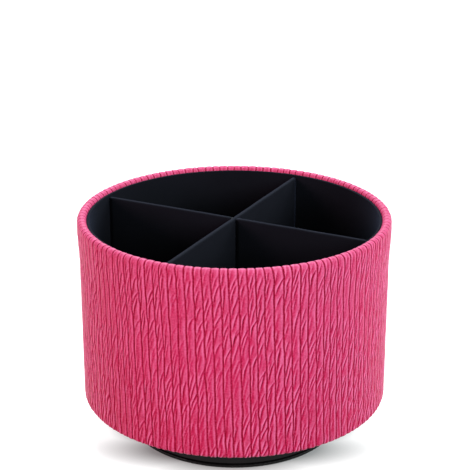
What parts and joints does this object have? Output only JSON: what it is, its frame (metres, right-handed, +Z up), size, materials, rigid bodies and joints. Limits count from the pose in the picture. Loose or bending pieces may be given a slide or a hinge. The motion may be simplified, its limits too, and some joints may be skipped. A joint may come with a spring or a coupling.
{
  "type": "rotating pen holder",
  "caption": "Round leather-wrapped desk organizer with velvet-lined pockets between crossed dividers, turning on a low ball-bearing turntable.",
  "frame": {"origin": "on the desk, under the centre of the drum and of the turntable", "axes": "+Z up along the turning axis; the crossed dividers lie along X and Y; the leather's seam is at the back, on +Y"},
  "size_m": [0.1888, 0.1888, 0.139],
  "materials": {
    "pink_leather": "embossed, soft satin",
    "black_velvet": "short pile velvet",
    "black_plastic": "fine moulded texture",
    "cage_plastic": "matte",
    "pad_rubber": "matte",
    "ball_steel": "polished",
    "screw_steel": "zinc plated",
    "fibreboard": "raw",
    "greyboard": "raw",
    "foam": "closed-cell padding",
    "cover_sheet": "fine-grained sheet"
  },
  "bodies": {
    "stand": {"base_dish": "black_plastic", "rubber_pad_1": "pad_rubber", "rubber_pad_2": "pad_rubber", "rubber_pad_3": "pad_rubber", "rubber_pad_4": "pad_rubber", "rubber_pad_5": "pad_rubber", "rubber_pad_6": "pad_rubber"},
    "ball_cage": {"ball_cage": "cage_plastic", "ball_01": "ball_steel", "ball_02": "ball_steel", "ball_03": "ball_steel", "ball_04": "ball_steel", "ball_05": "ball_steel", "ball_06": "ball_steel", "ball_07": "ball_steel", "ball_08": "ball_steel", "ball_09": "ball_steel", "ball_10": "ball_steel", "ball_11": "ball_steel", "ball_12": "ball_steel"},
    "holder": {"turntable_top": "black_plastic", "pivot_screw": "screw_steel", "pivot_washer": "screw_steel", "plate_screws": "screw_steel", "bottom_cover": "cover_sheet", "bottom_board": "fibreboard", "wall_tube": "fibreboard", "rim_foam": "foam", "leather_wrap": "pink_leather", "lining_card": "greyboard", "lining_velvet": "black_velvet", "floor_card": "greyboard", "floor_velvet": "black_velvet", "divider_x_board": "greyboard", "divider_x_velvet": "black_velvet", "divider_y_board": "greyboard", "divider_y_velvet": "black_velvet"}
  },
  "joints": [
    {"name": "holder_spin", "type": "hinge", "parent": "stand", "child": "holder", "pos_m": [0, 0, 0.009], "axis": [0, 0, 1], "continuous": true},
    {"name": "cage_spin", "type": "hinge", "parent": "stand", "child": "ball_cage", "pos_m": [0, 0, 0.009], "axis": [0, 0, 1], "continuous": true}
  ],
  "couplings": [
    {"joint": "cage_spin", "follows": "holder_spin", "ratio": 0.5}
  ]
}
